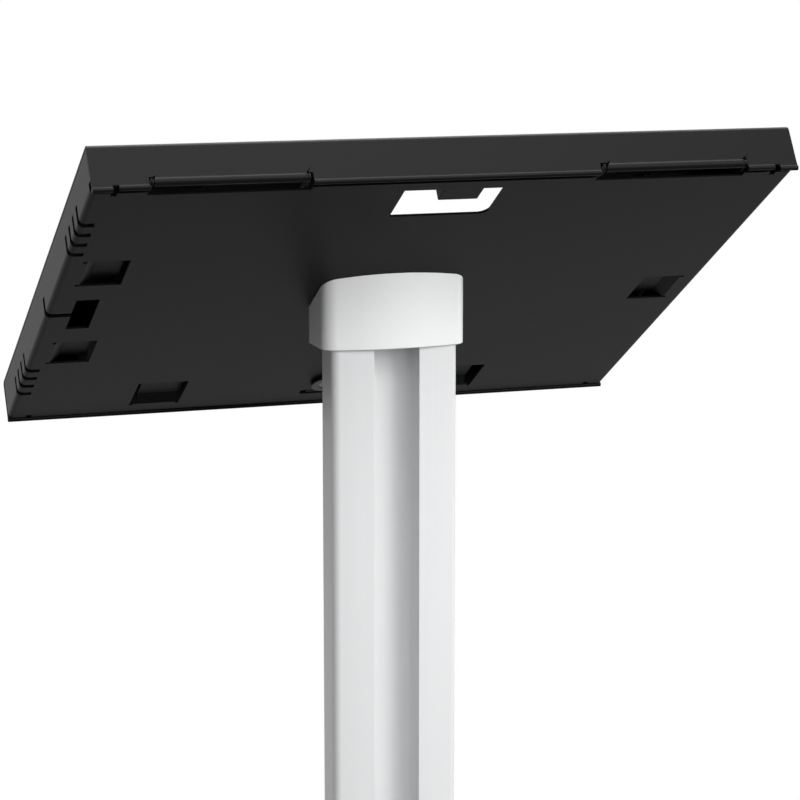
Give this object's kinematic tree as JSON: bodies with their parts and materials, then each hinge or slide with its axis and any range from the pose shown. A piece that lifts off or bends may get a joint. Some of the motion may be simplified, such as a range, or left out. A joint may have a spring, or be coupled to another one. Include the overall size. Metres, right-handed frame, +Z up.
{
  "type": "tablet security kiosk stand",
  "caption": "Floor stand that locks a tablet in a tilted sheet steel case on a grooved aluminium column with a flat base; the cover is hinged and keyed.",
  "frame": {"origin": "middle of the base's footprint, on the floor under the rubber feet", "axes": "+Z is up along the column, -Y is the user's side that the screen faces, +X is to the user's right"},
  "size_m": [0.37, 0.37, 1.1889],
  "materials": {
    "back_shell": "black fine-texture powder coat, satin",
    "front_cover": "black fine-texture powder coat, satin",
    "hinge_pins": "bright steel",
    "window_gasket": "black closed-cell foam",
    "strike_bracket": "black powder coat",
    "lock_body": "polished chrome",
    "lock_washer": "zinc plated steel",
    "lock_nut": "zinc plated steel",
    "lock_plug": "satin chrome with a keyway",
    "cam_washer": "zinc plated steel",
    "lock_cam": "zinc plated steel",
    "cam_screw": "zinc plated steel",
    "foam_pads": "black closed-cell foam",
    "corner_pads": "black closed-cell foam",
    "mounting_plate": "zinc plated steel",
    "head_screws": "zinc plated button head screws",
    "cable_grommet": "black rubber",
    "cable_clip": "black plastic",
    "collar": "light silver satin paint on a cast wedge",
    "collar_screws": "zinc plated cap screws",
    "column": "silver anodised extrusion with fine lengthwise drawing lines",
    "foot_screws": "zinc plated cap screws",
    "base_plate": "black fine-texture powder coat, satin",
    "rubber_feet": "black rubber"
  },
  "bodies": {
    "stand": {"back_shell": "back_shell", "hinge_pins": "hinge_pins", "lock_body": "lock_body", "lock_washer": "lock_washer", "lock_nut": "lock_nut", "foam_pads": "foam_pads", "corner_pads": "corner_pads", "mounting_plate": "mounting_plate", "head_screws": "head_screws", "cable_grommet": "cable_grommet", "cable_clip": "cable_clip", "collar": "collar", "collar_screws": "collar_screws", "column": "column", "foot_screws": "foot_screws", "base_plate": "base_plate", "rubber_feet": "rubber_feet"},
    "cover": {"front_cover": "front_cover", "window_gasket": "window_gasket", "strike_bracket": "strike_bracket"},
    "lock_rotor": {"lock_plug": "lock_plug", "cam_washer": "cam_washer", "lock_cam": "lock_cam", "cam_screw": "cam_screw"}
  },
  "joints": [
    {"name": "cover_hinge", "type": "hinge", "parent": "stand", "child": "cover", "pos_m": [0, 0.10811, 1.17368], "axis": [-1, 0, 0], "range_deg": [0, 100]},
    {"name": "lock_turn", "type": "hinge", "parent": "stand", "child": "lock_rotor", "pos_m": [0, -0.09423, 1.0459], "axis": [0, 0.5247, -0.8513], "range_deg": [0, 90]}
  ]
}
